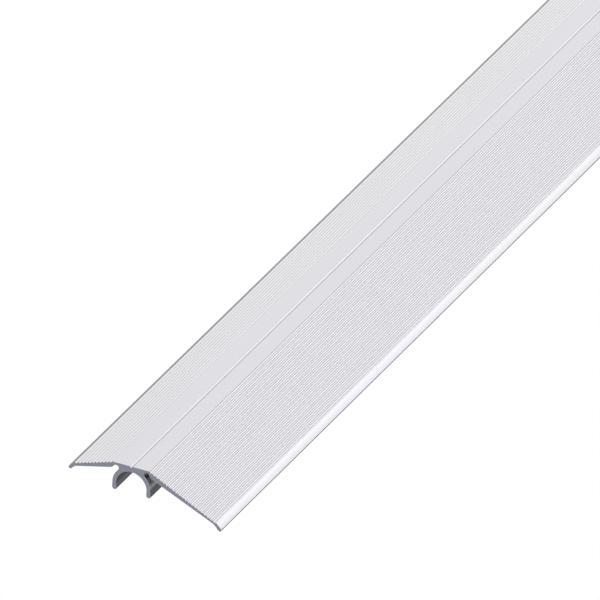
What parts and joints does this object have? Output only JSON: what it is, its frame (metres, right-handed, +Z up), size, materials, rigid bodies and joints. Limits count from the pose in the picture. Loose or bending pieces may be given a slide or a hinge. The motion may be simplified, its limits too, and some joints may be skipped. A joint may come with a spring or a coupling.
{
  "type": "threshold strip",
  "caption": "Ribbed aluminium threshold strip that tilts on screwed ball heads to cover the joint between floors of different height.",
  "frame": {"origin": "on the subfloor surface, under the middle of the row of fixings", "axes": "+X along the doorway, +Z up, -Y towards the long wing that ramps down to the lower floor"},
  "size_m": [0.9, 0.043, 0.0402],
  "materials": {
    "anodised_aluminium": "satin silver anodised, fine lines along the extrusion",
    "white_nylon": "natural moulded nylon",
    "zinc_plated_steel": "bright zinc plated",
    "grey_nylon": "grey moulded nylon"
  },
  "bodies": {
    "wall_plugs": {"wall_plug_1": "grey_nylon", "wall_plug_2": "grey_nylon", "wall_plug_3": "grey_nylon", "wall_plug_4": "grey_nylon", "wall_plug_5": "grey_nylon", "wall_plug_6": "grey_nylon"},
    "ball_heads": {"ball_head_1": "white_nylon", "ball_head_2": "white_nylon", "ball_head_3": "white_nylon", "ball_head_4": "white_nylon", "ball_head_5": "white_nylon", "ball_head_6": "white_nylon"},
    "screw_1": {"fixing_screw_1": "zinc_plated_steel"},
    "screw_2": {"fixing_screw_2": "zinc_plated_steel"},
    "screw_3": {"fixing_screw_3": "zinc_plated_steel"},
    "screw_4": {"fixing_screw_4": "zinc_plated_steel"},
    "screw_5": {"fixing_screw_5": "zinc_plated_steel"},
    "screw_6": {"fixing_screw_6": "zinc_plated_steel"},
    "strip": {"threshold_profile": "anodised_aluminium"}
  },
  "joints": [
    {"name": "height", "type": "slide", "parent": "wall_plugs", "child": "ball_heads", "axis": [0, 0, 1], "range_m": [-0.003, 0.008]},
    {"name": "tilt", "type": "hinge", "parent": "ball_heads", "child": "strip", "pos_m": [0, 0, 0.0101], "axis": [1, 0, 0], "range_deg": [-8.7, 17.2]},
    {"name": "screw_1_turn", "type": "hinge", "parent": "ball_heads", "child": "screw_1", "pos_m": [-0.39, 0, 0.0101], "axis": [0, 0, 1], "range_deg": [-601, 1601]},
    {"name": "screw_2_turn", "type": "hinge", "parent": "ball_heads", "child": "screw_2", "pos_m": [-0.234, 0, 0.0101], "axis": [0, 0, 1], "range_deg": [-601, 1601]},
    {"name": "screw_3_turn", "type": "hinge", "parent": "ball_heads", "child": "screw_3", "pos_m": [-0.078, 0, 0.0101], "axis": [0, 0, 1], "range_deg": [-601, 1601]},
    {"name": "screw_4_turn", "type": "hinge", "parent": "ball_heads", "child": "screw_4", "pos_m": [0.078, 0, 0.0101], "axis": [0, 0, 1], "range_deg": [-601, 1601]},
    {"name": "screw_5_turn", "type": "hinge", "parent": "ball_heads", "child": "screw_5", "pos_m": [0.234, 0, 0.0101], "axis": [0, 0, 1], "range_deg": [-601, 1601]},
    {"name": "screw_6_turn", "type": "hinge", "parent": "ball_heads", "child": "screw_6", "pos_m": [0.39, 0, 0.0101], "axis": [0, 0, 1], "range_deg": [-601, 1601]}
  ],
  "couplings": [
    {"joint": "screw_1_turn", "follows": "height", "rad_per_m": 3490.7},
    {"joint": "screw_2_turn", "follows": "height", "rad_per_m": 3490.7},
    {"joint": "screw_3_turn", "follows": "height", "rad_per_m": 3490.7},
    {"joint": "screw_4_turn", "follows": "height", "rad_per_m": 3490.7},
    {"joint": "screw_5_turn", "follows": "height", "rad_per_m": 3490.7},
    {"joint": "screw_6_turn", "follows": "height", "rad_per_m": 3490.7}
  ]
}
